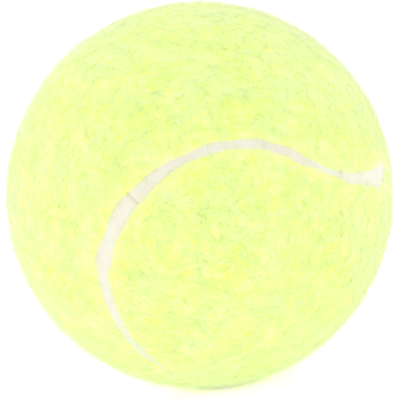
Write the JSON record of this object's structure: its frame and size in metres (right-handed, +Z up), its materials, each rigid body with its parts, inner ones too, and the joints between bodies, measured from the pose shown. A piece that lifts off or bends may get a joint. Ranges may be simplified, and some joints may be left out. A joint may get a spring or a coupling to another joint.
{
  "type": "tennis ball",
  "caption": "Pressurised ball: a two-cup rubber core under two interlocking dog-bone felt panels with a recessed white seam.",
  "frame": {"origin": "centre of the ball", "axes": "+Z up as the ball lies in its source view, with its rest point at -Z; the viewer stands on the -Y side and +X is to the right"},
  "size_m": [0.067, 0.067, 0.067],
  "materials": {
    "core_rubber": "moulded, dull, lightly buffed",
    "joint_cement": "cured adhesive, satin",
    "panel_cement": "cured rubber cement, tacky satin",
    "felt": "napped wool and nylon felt, optic yellow, fuzzy",
    "seam": "vulcanised seam compound, matt cream white"
  },
  "bodies": {
    "root": {"core_cup_a": "core_rubber", "core_cup_b": "core_rubber", "core_joint_cement": "joint_cement", "panel_cement_a": "panel_cement", "panel_cement_b": "panel_cement", "felt_panel_a": "felt", "felt_panel_b": "felt", "seam_rubber": "seam"}
  },
  "joints": []
}
